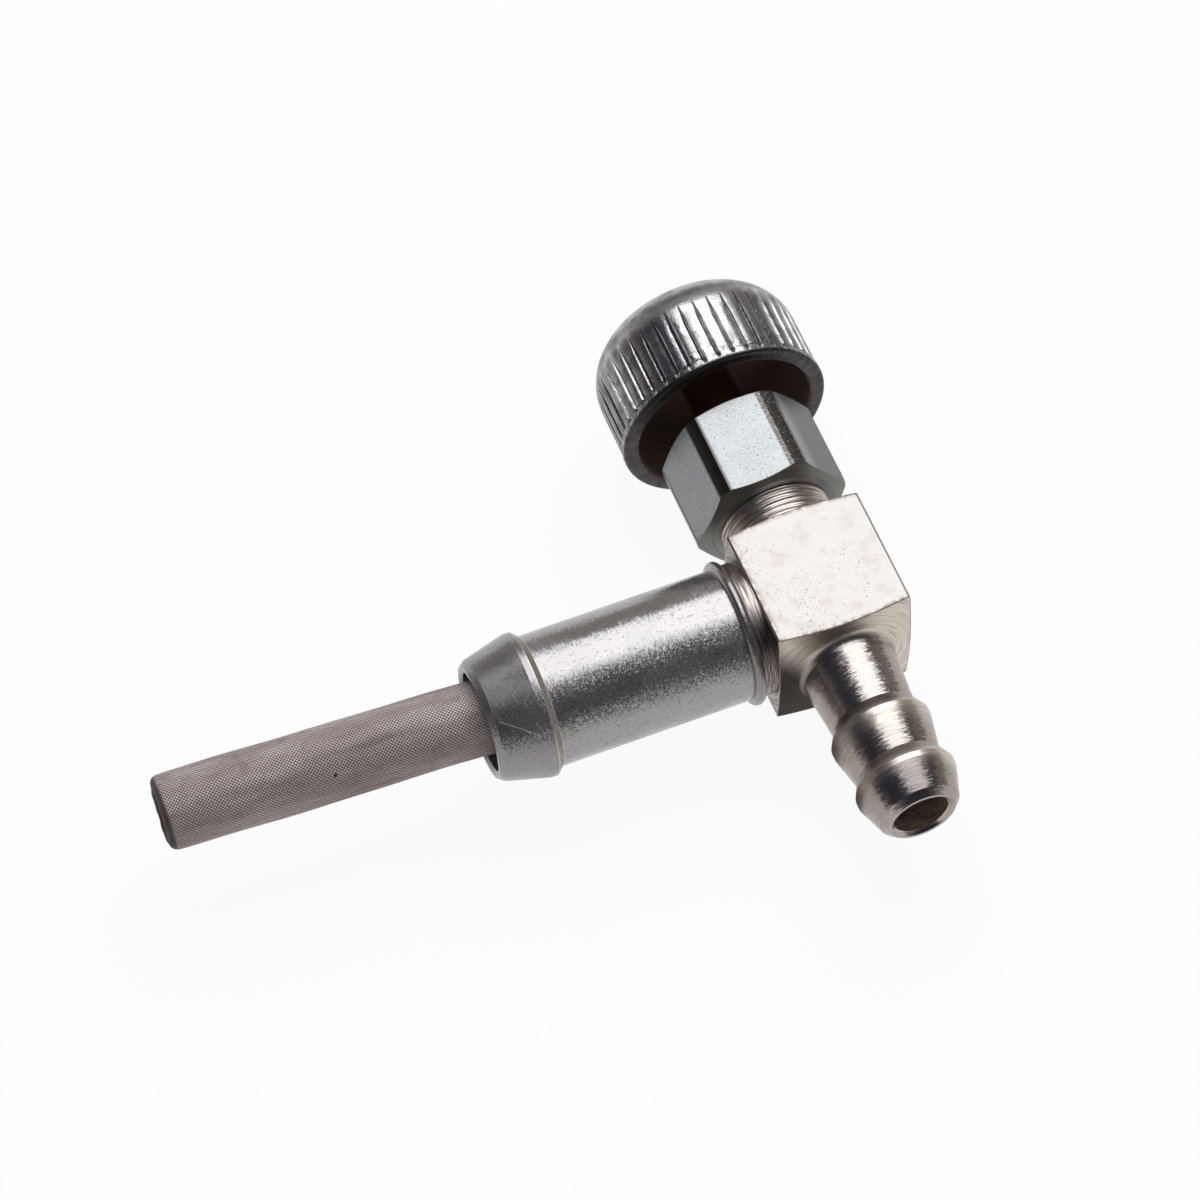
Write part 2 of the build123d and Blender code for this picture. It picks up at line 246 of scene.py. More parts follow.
# %% World and softbox
SKY_FILL = 0.36                     # strength of the white sky as a lamp
SOFTBOX_SIZE = (0.56, 0.49)         # metres
SOFTBOX_PLACE = np.array([0.14, 0.27, 0.50])
SOFTBOX_RADIANCE = 3.0


def seen_directly(wire):
    """1 for rays from the camera and for reflected and transmitted ones, otherwise 0."""
    parts = [wire.node("LightPath", output=name) for name in (
        "Is Camera Ray", "Is Glossy Ray", "Is Transmission Ray")]
    return larger(larger(parts[0], parts[1]), parts[2])


world = bpy.data.worlds.new("white sky")
world.use_nodes = True
world.node_tree.nodes.clear()
bpy.context.scene.world = world
sky = Wire(world.node_tree)
sky_strength = SKY_FILL + (1 - SKY_FILL) * seen_directly(sky)
sky.node("OutputWorld", sockets={"Surface": sky.node("Background", sockets={
    "Color": colour(1, 1, 1), "Strength": sky_strength})})

lamp = bpy.data.lights.new("softbox", "AREA")
lamp.shape = "RECTANGLE"
lamp.size, lamp.size_y = SOFTBOX_SIZE
lamp.energy = SOFTBOX_RADIANCE * math.pi * lamp.size * lamp.size_y
softbox = bpy.data.objects.new("softbox", lamp)
lamp_axis = SOFTBOX_PLACE / np.linalg.norm(SOFTBOX_PLACE)
lamp_right = np.cross([0, 1, 0], lamp_axis)
lamp_right /= np.linalg.norm(lamp_right)
lamp_pose = np.eye(4)
lamp_pose[:3] = np.column_stack([lamp_right, np.cross(lamp_axis, lamp_right), lamp_axis, SOFTBOX_PLACE])
softbox.matrix_world = Matrix(lamp_pose.tolist())
softbox.visible_camera = False
bpy.context.scene.collection.objects.link(softbox)
print("softbox of", round(lamp.energy, 2), "W")

# %% [markdown]
# Every new mesh here is a grid of rings. One function joins a ring's points to their neighbours
# and to the next ring, closes the ends, and turns the faces outwards. It works on whole arrays,
# so a shape of fifty thousand faces takes no longer to write than a cup of fifty.

# %% Meshes from rings
def surface(name, rings, loop=False, sharp=32.0, chart=None):
    """A closed mesh over an array of rings, of shape (rings, points, 3), in millimetres.

    Each point meets the next one of its ring, the last point the first, and both meet the same
    points of the next ring. With loop, the last ring meets the first; otherwise one flat face
    closes each end ring. The faces are turned over where the volume inside them is negative.
    Chart gives a UV place for each point, with one more column for the seam.
    """
    count, size, _ = rings.shape
    ring, point = np.meshgrid(np.arange(count - (not loop)), np.arange(size), indexing="ij")
    corner = [(ring, point), (ring, point + 1), (ring + 1, point + 1), (ring + 1, point)]
    quads = np.stack([(r % count * size + p % size).ravel() for r, p in corner], axis=1)
    points = rings.reshape(-1, 3)
    a, b, c, d = (points - points.mean(axis=0))[quads.T]
    if np.einsum("ij,ij", a, np.cross(b, c) + np.cross(c, d)) < 0:
        corner, quads = corner[::-1], quads[:, ::-1]
        ends = [np.arange(size), np.arange(size)[::-1] + (count - 1) * size]
    else:
        ends = [np.arange(size)[::-1], np.arange(size) + (count - 1) * size]
    faces = quads.tolist() + ([] if loop else [end.tolist() for end in ends])
    mesh = bpy.data.meshes.new(name)
    mesh.from_pydata((points * MM).tolist(), [], faces)
    if chart is not None:
        places = np.zeros((len(mesh.loops), 2))
        places[:quads.size] = np.stack(
            [chart[r % count, p].reshape(-1, 2) for r, p in corner], axis=1).reshape(-1, 2)
        mesh.uv_layers.new(name="weave").data.foreach_set("uv", places.ravel())
    mesh.shade_smooth()
    mesh.set_sharp_from_angle(angle=math.radians(sharp))
    piece = bpy.data.objects.new(name, mesh)
    bpy.context.scene.collection.objects.link(piece)
    print(name, "has", len(faces), "faces")
    return piece


def arc(centre, radius, start, end, steps):
    """Points of a circular arc in the plane of a profile, from start to end in degrees."""
    angle = np.radians(np.linspace(start, end, steps))
    return np.array(centre) + radius * np.column_stack([np.cos(angle), np.sin(angle)])


def turn_round_valve(radius, height, angle):
    """Points at radius and height on the valve axis; the angle runs from +Z towards -X."""
    return np.stack(np.broadcast_arrays(
        VALVE_X - radius * np.sin(angle), height, radius * np.cos(angle)), axis=-1)


# %% [markdown]
# The table is a plain white sheet at the lowest point of the tap. Part of its white is its own,
# so that it stays white to the camera and keeps a soft shadow. The dome round it is a ball of
# rings without its lower half, dark above and grey-brown below a tilted edge.

# %% Table and dome
TABLE_SIZE = 1200.0
TABLE_OWN_WHITE = 0.93
DOME_RADIUS = 1000.0
DOME_FOOT = -1.0                    # degrees of elevation
WALL_TOP = 0.33                     # height of the wall, as a share of the dome's radius
WALL_TILT = (0.10, 0.18)            # how much higher it is towards +X and +Y
WALL_COLOUR = colour(0.33, 0.29, 0.265)
CLOTH_COLOUR = colour(0.018, 0.022, 0.040)
SPILL_COLOUR = colour(2.5, 2.5, 2.55)  # the cloth overhead, lit by the softbox beside it

table_z = cad_box[0].z / MM
corners = np.array([[-1, -1], [1, -1], [1, 1], [-1, 1]]) * TABLE_SIZE
table_mesh = bpy.data.meshes.new("table")
table_mesh.from_pydata(
    (np.column_stack([corners, np.full(4, table_z)]) * MM).tolist(), [], [[0, 1, 2, 3]])
table = bpy.data.objects.new("table", table_mesh)
bpy.context.scene.collection.objects.link(table)
paper, wire, place = start_finish("white paper")
own = wire.node("Emission", sockets={"Color": colour(1, 1, 1), "Strength": 1.0})
lit = wire.node("BsdfDiffuse", sockets={"Color": colour(0.93, 0.93, 0.93)})
wire.node("OutputMaterial", sockets={"Surface": wire.node("MixShader", sockets={
    0: TABLE_OWN_WHITE * seen_directly(wire), 1: lit, 2: own})})
table_mesh.materials.append(paper)

rise = np.radians(np.linspace(DOME_FOOT, 89.5, 40))[:, None]
turn = np.radians(np.arange(0, 360, 5))[None, :]
dome = surface("dome", DOME_RADIUS * np.stack(np.broadcast_arrays(
    np.cos(rise) * np.cos(turn), np.cos(rise) * np.sin(turn), np.sin(rise)), axis=-1))
for kind in ("camera", "diffuse", "transmission", "volume_scatter", "shadow"):
    setattr(dome, "visible_" + kind, False)
cloth, wire, place = start_finish("dark cloth over a grey wall")
x, y, z = split(place)
edge = z * (1 / DOME_RADIUS) - x * (WALL_TILT[0] / DOME_RADIUS) - y * (WALL_TILT[1] / DOME_RADIUS)
cloth_colour = tint(step(edge, WALL_TOP - 0.05, WALL_TOP + 0.05), WALL_COLOUR, CLOTH_COLOUR)
forward, aside = wire.math("DIVIDE", y, z), wire.math("DIVIDE", x, z)
spill = step(forward, -0.38, 0.02) * step(forward, 0.16, 0.08)
spill = spill * step(abs(aside - 0.22), 0.62, 0.34) * step(z, 500.0, 700.0)
cloth_colour = tint(spill, cloth_colour, SPILL_COLOUR)
wire.node("OutputMaterial", sockets={"Surface": wire.node("Emission", sockets={
    "Color": cloth_colour, "Strength": 1.0})})
dome.data.materials.append(cloth)

# %% [markdown]
# The body, the stub's thread and the outlet were turned on a lathe, so their scratches run round
# the axis. A lathe coordinate, the distance along the axis plus a share of the radius, stays the
# same along such a scratch, on a barrel and on a flat shoulder alike. Noise that is fine along it
# and coarse in the other directions draws the streaks.

# %% Turned metal
def lathe(along, across_a, across_b):
    """The lathe coordinate and the radius, from one place along the axis and two across it."""
    radius = (across_a * across_a + across_b * across_b) ** 0.5
    return along + 0.6 * radius, radius


def streaks(turned, across_a, across_b, fine, coarse, detail=3.0):
    """Noise from 0 to 1 in fine rings round the axis, which fade as they go round."""
    return cloud(join(turned, across_a, across_b), (fine, coarse, coarse), detail)


BODY_SILVER = colour(0.41, 0.38, 0.36)
BODY_WARM = colour(0.235, 0.178, 0.142)
BODY_THREAD = colour(0.66, 0.595, 0.545)
BODY_FLAT = colour(0.378, 0.367, 0.354)
BODY_BLUSH = colour(0.30, 0.252, 0.228)
BODY_BROWN = colour(0.075, 0.048, 0.038)
BODY_SHOULDER = colour(0.62, 0.56, 0.49)
BODY_SHOULDER_SHADE = colour(0.022, 0.014, 0.011)
BODY_RECESS_SHADE = colour(0.12, 0.10, 0.088)
BODY_BORE = colour(0.62, 0.50, 0.40)
BARB_CRESTS = (-11.75, -16.20)      # where the outlet's crests begin, along Y
BARB_RISE = 1.15
body_low, body_high = span("valve_body")
BAR_HALF = (body_high[2] - body_low[2]) / 2
SHOULDER = 5.30                     # where a flat ends, at its middle
SHOULDER_FALL = math.tan(math.radians(11.0))
BORE_R = 2.10


def make_turned_silver():
    """Nickel-silver: near white flats with pits, and turned places with streaks round the axis.

    The flats end where the height reaches the shoulder less a share of the radius beyond the
    flat, so the same sum gives the thin brown line along their curved edges.
    """
    material, wire, place = start_finish("turned silver")
    x, y, z = split(place)
    x = x - VALVE_X
    turned, radius = lathe(y, x, z)
    flat = step(larger(abs(x), abs(z)), BAR_HALF - 0.06, BAR_HALF - 0.02) * step(abs(y), 5.6, 5.4)
    past_edge = abs(y) - SHOULDER + (radius - BAR_HALF) * SHOULDER_FALL
    edge_line = larger(
        step(past_edge, -0.15, -0.05), step(abs(x) + abs(z), 2 * BAR_HALF - 0.19, 2 * BAR_HALF - 0.13))
    rings = streaks(turned, x, z, 9.0, 0.35)
    fine_rings = streaks(turned, x, z, 26.0, 0.8, 1.0)
    ragged = streaks(turned, x, z, 14.0, 1.7, 2.0)
    patches = cloud(place, (0.35, 0.35, 0.35), 3.0)
    crowded = step(patches - 0.025 * x - 0.015 * y, 0.38, 0.62)
    grain = cloud(place, (9.0, 9.0, 9.0), 2.0)
    pits = step(cloud(place, (5.0, 5.0, 5.0), 3.0), 0.57, 0.65) * crowded * step(grain, 0.42, 0.66)
    blush = step(cloud(place, (0.8, 0.8, 0.8), 4.0), 0.48, 0.75)
    blotch = step(cloud(place, (2.6, 1.3, 2.6), 3.0), 0.40, 0.56)
    stain = larger(step(x, -BAR_HALF + 0.70, -BAR_HALF), step(past_edge, -0.45, 0.0)) * blotch
    shoulder = step(radius, 3.5, 3.9) * (1 - flat) * step(y, 0.0, -1.0)
    # painted shade: the low left part of the shoulder
    shaded = step(0.9 * x + z, 1.0, -3.5)
    behind = [step(y, crest - 0.02, crest + 0.06) * step(y, crest + BARB_RISE, crest + 0.7 * BARB_RISE)
              for crest in BARB_CRESTS]
    behind = larger(behind[0], behind[1])
    crest_lines = [step(abs(y - crest), 0.14, 0.06) for crest in BARB_CRESTS]
    crest_line = larger(crest_lines[0], crest_lines[1])
    # painted shade: the turned metal is darker and browner beyond about 2 mm to either side of the valve
    # axis
    outlet_side_shade = step(abs(x + 0.3), 1.6, 3.0) * (1 - shoulder)
    neck = step(y, 5.25, 5.40)
    bore = step(radius, BORE_R + 0.12, BORE_R + 0.04) * step(y, -8.0, -9.0)
    left = step(x, -BAR_HALF + 0.05, -BAR_HALF + 0.01)
    collar_streaks = streaks(x + 0.6 * (y * y + z * z) ** 0.5, y, z, 11.0, 0.45)
    # the warm tint mixes the real turning streaks with that painted side shade
    streaks_and_side_shade = step(rings, 0.42, 0.72) * 0.25 + step(fine_rings, 0.54, 0.68) * 0.40 + outlet_side_shade * 0.35
    turned_colour = tint(streaks_and_side_shade, tint(neck, BODY_SILVER, BODY_THREAD), BODY_WARM)
    # painted shade: the shoulder under the outlet is pale to the right and near black low on the left
    shoulder_colour = tint(shaded * 0.95, BODY_SHOULDER, BODY_SHOULDER_SHADE)
    shoulder_colour = tint(step(rings, 0.45, 0.70) * 0.35, shoulder_colour, BODY_BROWN)
    # painted shade: darker along each crest of the outlet and on the cone behind it
    crest_shade = larger(crest_line * 0.90, behind * 0.35)
    turned_colour = tint(shoulder, tint(crest_shade, turned_colour, BODY_RECESS_SHADE), shoulder_colour)
    bore_colour = tint(step(fine_rings, 0.40, 0.60), BODY_WARM, BODY_BORE)
    turned_colour = tint(bore, turned_colour, bore_colour)
    flat_colour = tint(blush * 0.40, BODY_FLAT, BODY_BLUSH)
    flat_colour = tint(larger(pits * 0.80, stain * 0.70), flat_colour, BODY_BROWN)
    flat_colour = tint(edge_line * 0.85, flat_colour, BODY_BROWN)
    collar_colour = tint(step(collar_streaks, 0.38, 0.60) * 0.85, BODY_SILVER, BODY_BROWN)
    plain_height = 0.75 * rings + 0.25 * fine_rings
    flat_height = 0.5 + 0.1 * grain - 0.3 * pits
    height = plain_height + flat * (flat_height - plain_height)
    lean = (ragged - 0.5) * (1 - flat) * (0.55 - 0.35 * shoulder)
    dulled = 0.12 * flat + 0.10 * shoulder + 0.30 * shoulder * shaded + 0.07 * neck + 0.08 * behind
    end_finish(
        wire,
        Base_Color=tint(left, tint(flat, turned_colour, flat_colour), collar_colour),
        Metallic=0.97 - 0.3 * bore,
        Roughness=0.19 + 0.12 * rings + dulled,
        Normal=relief(height, 0.012, brushed(wire, place, (VALVE_X, 0, 0), (0, 1, 0), lean)),
    )
    return material


turned_silver = make_turned_silver()
print("turned silver has", len(turned_silver.node_tree.nodes), "nodes")

# %% [markdown]
# The stem is another piece and another plating: a cooler zinc, rubbed crosswise by the cloth that
# polished it, with a few specks. Its streaks run round the stem's own axis.

# %% Zinc of the stem
STEM_ZINC = colour(0.355, 0.342, 0.345)
STEM_DULL = colour(0.15, 0.135, 0.13)
STEM_BARB = colour(0.25, 0.245, 0.255)
CREST_GOLD = colour(0.66, 0.57, 0.38)
BARB_BACK, BARB_FOOT = -15.40, -14.90  # where the barb's crest and its back end, along X
STEM_R = 5.0
SCRATCH_START, SCRATCH_RUN = -18.9, 2.6
SCRATCH_BEARING, SCRATCH_TURN = 0.62, 0.38
RUB_BEARING, RUB_HALF = 0.85, 0.60  # the side that handling has dulled, from +Z towards -Y


def make_stem_zinc():
    """Bright zinc with crosswise strokes that come and go, small dull specks and one scratch.

    The scratch is a thin line whose bearing round the stem grows in step with its way along it.
    """
    material, wire, place = start_finish("stem zinc")
    x, y, z = split(place)
    turned, radius = lathe(x, y, z)
    strokes = streaks(turned, y, z, 9.0, 2.4, 2.0)
    hairs = streaks(turned, y, z, 22.0, 0.7, 1.0)
    worn = step(cloud(place, (0.28, 0.5, 0.5), 2.0), 0.40, 0.62)
    specks = step(cloud(place, (3.2, 6.5, 6.5), 2.0), 0.60, 0.68)
    grain = cloud(place, (11.0, 11.0, 11.0), 2.0)
    dents = cloud(place, (7.0, 9.0, 9.0), 3.0)
    barb = step(x, BARB_BACK + 0.05, BARB_BACK - 0.05)
    back = step(x, BARB_BACK, BARB_BACK + 0.05) * step(x, BARB_FOOT + 0.06, BARB_FOOT)
    bead = step(x, -0.06, -0.02) * step(radius, STEM_R + 0.02, STEM_R + 0.08)
    crest = step(abs(x - BARB_BACK), 0.07, 0.03) + step(abs(x - BARB_FOOT), 0.07, 0.03)
    along = (x - SCRATCH_START) * (1 / SCRATCH_RUN)
    bearing = wire.math("ARCTAN2", 0 - y, z)
    beside = abs(bearing - SCRATCH_BEARING - along * SCRATCH_TURN) * radius
    scratch = step(beside, 0.07, 0.02) * step(abs(along - 0.5), 0.54, 0.46) * barb
    rubbed = step(abs(bearing - RUB_BEARING), RUB_HALF, 0.5 * RUB_HALF)
    plain = tint(specks * 0.7, STEM_ZINC, STEM_DULL)
    plain = tint(barb * (0.45 + 0.45 * hairs), plain, STEM_BARB)
    plain = tint(bead * 0.45, plain, STEM_DULL)
    plain = tint(crest * 0.7 + scratch * 0.8, plain, CREST_GOLD)
    lean = (strokes - 0.5) * (0.12 + 0.30 * worn) + (dents - 0.5) * rubbed * 0.95
    end_finish(
        wire,
        Base_Color=plain,
        Metallic=0.83 - 0.4 * larger(scratch, back * 0.5),
        Roughness=0.17 + 0.08 * worn + 0.08 * hairs + 0.05 * barb + 0.08 * rubbed + 0.20 * back,
        Normal=relief(
            0.5 * hairs + 0.5 * grain, 0.008, brushed(wire, place, (0, 0, 0), (1, 0, 0), lean)),
    )
    return material


stem_zinc = make_stem_zinc()
print("stem zinc has", len(stem_zinc.node_tree.nodes), "nodes")

# %% [markdown]
# The nut is drawn hexagon bar under a dull bluish zinc full of tiny grains. Where the lathe cut
# its corners and chamfers away the metal is smoother, and there it is painted much darker and a
# little browner: a painted shade that makes the dark strips between its flats. The corners towards
# +X get lighter streaks as painted highlights.

# %% Zinc of the nut
NUT_ZINC = colour(0.42, 0.44, 0.455)
NUT_SIDE_SHADE = colour(0.135, 0.137, 0.145)
NUT_GRAIN = colour(0.075, 0.080, 0.082)
NUT_CORNER_SHADE = colour(0.085, 0.078, 0.074)
NUT_CORNER_GLINT = colour(0.40, 0.37, 0.35)
NUT_CHAMFER_SHADE = colour(0.17, 0.168, 0.150)
nut_low, nut_high = span("gland_nut")
NUT_CORNER = (nut_high[0] - nut_low[0]) / 2
NUT_FACE_R = 4.90                   # radius of the flat ends inside the chamfers
NUT_FALL = math.tan(math.radians(25.0))
NUT_WIDER = 0.09                    # how much more was turned off the corners towards +X


def make_nut_zinc():
    """Grainy bluish zinc, smoother on the turned corners and chamfers, which carry a darker, browner
    painted shade.

    A chamfer is a cone, so it is found where the distance from the nut's end, less a share of
    the radius beyond the flat end, is nearly nothing.
    """
    material, wire, place = start_finish("nut zinc")
    x, y, z = split(place)
    x = x - VALVE_X
    turned, radius = lathe(y, x, z)
    wider = step(x, 0.0, 2.0) * NUT_WIDER
    corner = step(radius + wider, NUT_CORNER - 0.09, NUT_CORNER - 0.03)
    cone = (radius - NUT_FACE_R) * NUT_FALL
    chamfer = larger(step(y - nut_low[1] - cone, 0.06, 0.02), step(nut_high[1] - y - cone, 0.06, 0.02))
    grain = cloud(place, (9.0, 9.0, 9.0), 2.0, 0.6)
    patches = cloud(place, (0.6, 0.6, 0.6), 2.0)
    dots = step(cloud(place, (6.5, 6.5, 6.5), 1.0), 0.64, 0.72)
    rings = streaks(turned, x, z, 12.0, 0.5)
    # painted highlights: lighter streaks on the turned corners towards +X
    corner_glints = step(cloud(place, (3.0, 9.0, 3.0), 2.0), 0.56, 0.66) * step(x, 0.0, 2.0)
    # painted shade: the side flats are darker, those towards +X most
    side_flat_shade = larger(step(x, 2.6, 4.0) * 0.82, step(x, -2.6, -4.0) * 0.46)
    speckled = tint(side_flat_shade, NUT_ZINC, NUT_SIDE_SHADE)
    speckled = tint(step(grain, 0.42, 0.66) * 0.26 + dots * 0.60, speckled, NUT_GRAIN)
    # the corners' painted shade with its painted highlights
    corner_shade_and_glints = tint(corner_glints * 0.7, NUT_CORNER_SHADE, NUT_CORNER_GLINT)
    # painted shade on the turned corners
    plain = tint(corner * 0.95, speckled, corner_shade_and_glints)
    # painted shade on the chamfers as well
    end_finish(
        wire,
        Base_Color=tint(chamfer * 0.85, plain, NUT_CHAMFER_SHADE),
        Metallic=1.0,
        Roughness=0.38 + 0.08 * patches - 0.14 * corner,
        Normal=relief(grain + corner * (rings - grain), 0.008),
    )
    return material


nut_zinc = make_nut_zinc()
print("nut zinc has", len(nut_zinc.node_tree.nodes), "nodes")

# %% [markdown]
# The knob is pressed sheet with a bright plating that has rippled a little over the ribs. Inside
# the cup the plating hardly reached, so the cavity is brown and dull. The spindle is plain brass,
# and the packing and the valve's tip are black rubber.

# %% Plating, brass and rubber
KNOB_BRIGHT = colour(0.44, 0.44, 0.45)
KNOB_SMOKE_AND_SHADE = colour(0.135, 0.128, 0.125)
KNOB_RIM = colour(0.046, 0.041, 0.041)
KNOB_LINE_AND_SHADE = colour(0.030, 0.029, 0.036)
KNOB_INSIDE = colour(0.22, 0.155, 0.122)
KNOB_CROWN_R = 4.10                 # the shoulder's arc turns about a ring of this radius
KNOB_CROWN_Y = 23.12                # at this height
KNOB_INSIDE_R = 2.95                # and the cavity lies nearer to that ring than this
GROOVES = 45
GROOVE_FIRST = math.radians(2.0)    # from +Z towards -X
GROOVE_WIDTH = 0.40
BAND = 0.85                         # height of the rolled band over the rim
BRASS = colour(0.78, 0.54, 0.24)
BRASS_MARKS_AND_SHADE = colour(0.13, 0.080, 0.045)
RUBBER = colour(0.022, 0.021, 0.020)
RUBBER_DUST = colour(0.060, 0.056, 0.052)


def make_knob_plating():
    """Bright plating in the grooves, painted shade on the ribs to both sides and on the dome, smoky
    patches, and brown unplated metal inside the cup.

    The bearing round the axis, counted in grooves, is whole in the middle of each groove, and its
    distance from the nearest whole number tells the ribs from the grooves.
    """
    material, wire, place = start_finish("knob plating")
    x, y, z = split(place)
    x = x - VALVE_X
    turned, radius = lathe(y, x, z)
    beyond, above = larger(radius - KNOB_CROWN_R, 0.0), larger(y - KNOB_CROWN_Y, 0.0)
    inside = step((beyond * beyond + above * above) ** 0.5, KNOB_INSIDE_R + 0.06, KNOB_INSIDE_R - 0.06)
    ripple = cloud(place, (1.6, 0.7, 1.6), 3.0)
    grain = cloud(place, (7.0, 7.0, 7.0), 2.0)
    smoke = step(cloud(place, (0.9, 0.9, 0.9), 4.0), 0.38, 0.68)
    bearing = (wire.math("ARCTAN2", 0 - x, z) - GROOVE_FIRST) * (GROOVES / (2 * math.pi))
    from_groove = abs(wire.math("WRAP", bearing, 0.5, -0.5))
    rib = step(from_groove, 0.12, 0.24) * step(y, 24.2, 23.6)
    groove_shade = step(from_groove, 0.11, 0.05) * step(y, 23.9, 23.5)
    flank_shade = step(abs(x + 1.0), 2.0, 5.5)
    dome_shade = step(y, 23.0, 24.6)
    rim = step(y, knob_low[1] + 0.42, knob_low[1] + 0.22)
    dashes = step(cloud(place, (0.9, 0.1, 0.9), 2.0), 0.44, 0.56)
    line = step(abs(y - knob_low[1] - BAND), 0.11, 0.05) * dashes
    shade_line = step(abs(y - 24.3 - ripple), 0.55, 0.10) * 0.45
    crackle = step(cloud(place, (3.2, 2.0, 3.2), 3.0), 0.50, 0.58) * step(y, 20.4, 18.6)
    # painted shade: the ribs are darker towards both sides and the dome a little darker; smoke and
    # crackle are random marks in the plating
    smoke_and_shade = rib * flank_shade * (1 - rim) * 0.62 + smoke * 0.40 + dome_shade * 0.12 + crackle * 0.60
    # painted shade: thin dark lines in the groove bottoms and under the shoulder, together with the
    # dashed line at the top of the rolled band
    line = larger(larger(line, shade_line), groove_shade * 0.75 * step(y, 18.1, 18.4))
    plated = tint(smoke_and_shade, KNOB_BRIGHT, KNOB_SMOKE_AND_SHADE)
    plated = tint(line * 0.9, tint(rim * 0.95, plated, KNOB_RIM), KNOB_LINE_AND_SHADE)
    end_finish(
        wire,
        Base_Color=tint(inside, plated, KNOB_INSIDE),
        Metallic=0.93 - 0.6 * inside,
        Roughness=0.17 + 0.12 * smoke + 0.30 * inside + 0.12 * dome_shade + 0.15 * rim + 0.09 * rib * flank_shade,
        Normal=relief(0.6 * ripple + 0.4 * grain, 0.034),
    )
    return material


def make_brass():
    """Turned brass, darker in the tool marks, with painted shade on the shaft below the knob's top."""
    material, wire, place = start_finish("brass")
    x, y, z = split(place)
    turned, radius = lathe(y, x - VALVE_X, z)
    rings = streaks(turned, x, z, 8.0, 0.4)
    # painted shade on the shaft inside the cup and below it
    cup_shade = step(y, KNOB_CROWN_Y + 3.0, KNOB_CROWN_Y + 2.0)
    end_finish(
        wire,
        Base_Color=tint(larger(step(rings, 0.35, 0.75) * 0.5, cup_shade * 0.62), BRASS, BRASS_MARKS_AND_SHADE),
        Metallic=1.0,
        Roughness=0.26 + 0.16 * rings,
        Normal=relief(rings, 0.008),
    )
    return material


def make_rubber():
    """Black rubber with a little dust."""
    material, wire, place = start_finish("rubber")
    dust = cloud(place, (2.5, 2.5, 2.5), 3.0)
    end_finish(
        wire,
        Base_Color=tint(step(dust, 0.45, 0.75), RUBBER, RUBBER_DUST),
        Roughness=0.55 + 0.2 * dust,
        Normal=relief(dust, 0.010),
    )
    return material


knob_plating, brass, rubber = make_knob_plating(), make_brass(), make_rubber()
print("plating, brass and rubber are ready")

# %% [markdown]
# The strainer is wire gauze, woven with about five wires to a millimetre. Two sines, one round
# the tube and one along it, multiply into the chequer of wires that pass over and under each
# other. The UV map holds millimetres of cloth, so the weave follows the roll and the folds.

# %% Woven wire
WEAVE_PITCH = 0.14
WIRE_LIGHT = colour(0.58, 0.495, 0.475)
WIRE_SHADE = colour(0.115, 0.085, 0.076)
WIRE_BRIGHT = colour(0.78, 0.72, 0.71)
WIRE_GRIME_AND_SHADE = colour(0.030, 0.022, 0.020)
RIM_START, RIM_FULL = -43.05, -43.35   # where the dark rolled rim begins along X
DIRT_SPECK = (-30.96, -1.32, 1.77)  # one dark speck on the side towards the viewer


def make_woven_wire():
    """Warm grey wire gauze whose wires pass over and under each other."""
    material, wire, place = start_finish("woven wire")
    cloth_place = wire.node("TexCoord", output="UV")
    around, along, _ = split(cloth_place)
    turns = math.pi / WEAVE_PITCH
    over = wire.math("SINE", around * turns) * wire.math("SINE", along * turns)
    knuckle = 0.5 + 0.5 * over
    uneven = cloud(cloth_place, (0.75, 0.13, 1.0), 3.0)
    dirt = cloud(place, (0.9, 0.9, 0.9), 3.0)
    x, y, z = split(place)
    rim = step(x, RIM_START, RIM_FULL)
    off_speck = wire.node(
        "VectorMath", {"operation": "DISTANCE"}, {0: place, 1: DIRT_SPECK}, output="Value")
    woven = tint(step(knuckle, 0.20, 0.85), WIRE_SHADE, WIRE_LIGHT)
    polished = tint(step(uneven, 0.46, 0.66) * step(knuckle, 0.4, 0.9), woven, WIRE_BRIGHT)
    # painted shade on the rolled rim and the folded tip, with real dirt patches, dark streaks and one
    # speck
    dirt_and_tip_shade = larger(step(dirt, 0.50, 0.80) * 0.28, rim * 0.88)
    dirt_and_tip_shade = larger(dirt_and_tip_shade, step(uneven, 0.46, 0.30) * 0.34)
    dirt_and_tip_shade = larger(dirt_and_tip_shade, step(off_speck, 0.20, 0.12))
    end_finish(
        wire,
        Base_Color=tint(dirt_and_tip_shade, polished, WIRE_GRIME_AND_SHADE),
        Metallic=0.22,
        Roughness=0.66,
        Normal=relief(knuckle, 0.018),
    )
    return material


woven_wire = make_woven_wire()
print("woven wire has", len(woven_wire.node_tree.nodes), "nodes")

# %% [markdown]
# The strainer is a square of gauze rolled to a thimble, its tip folded in over itself. One closed
# profile makes it: up the inside, over the root, along the outside, round the rim and down into
# the fold. Slow waves keep the roll from looking like a machined tube, and the fold gets pleats.

# %% Strainer
GAUZE_WALL = 0.22
GAUZE_ROUND = 0.55                  # rounding of the rim
GAUZE_TUCK = 1.10                   # depth of the fold
GAUZE_POINTS = 144
PLEATS = 7
NOTCH_BEARING = math.radians(210)   # the folded rim has a notch low at the front
NOTCH_DEPTH = 0.40

gauze_low, gauze_high = span("filter_screen")
GAUZE_R = (gauze_high[2] - gauze_low[2]) / 2
gauze_run = gauze_high[0] - gauze_low[0]
gauze_drift = gauze_high[1] - gauze_low[1] - 2 * GAUZE_R
lean = math.atan(gauze_drift / gauze_run)
gauze_axis = np.array([-math.cos(lean), math.sin(lean), 0])
gauze_side = np.array([math.sin(lean), math.cos(lean), 0])
gauze_root = np.array([
    gauze_high[0] - GAUZE_R * math.sin(lean), gauze_low[1] + GAUZE_R * math.cos(lean), 0])
GAUZE_LENGTH = (gauze_run - (2 * GAUZE_R - GAUZE_ROUND) * math.sin(lean)) / math.cos(lean)


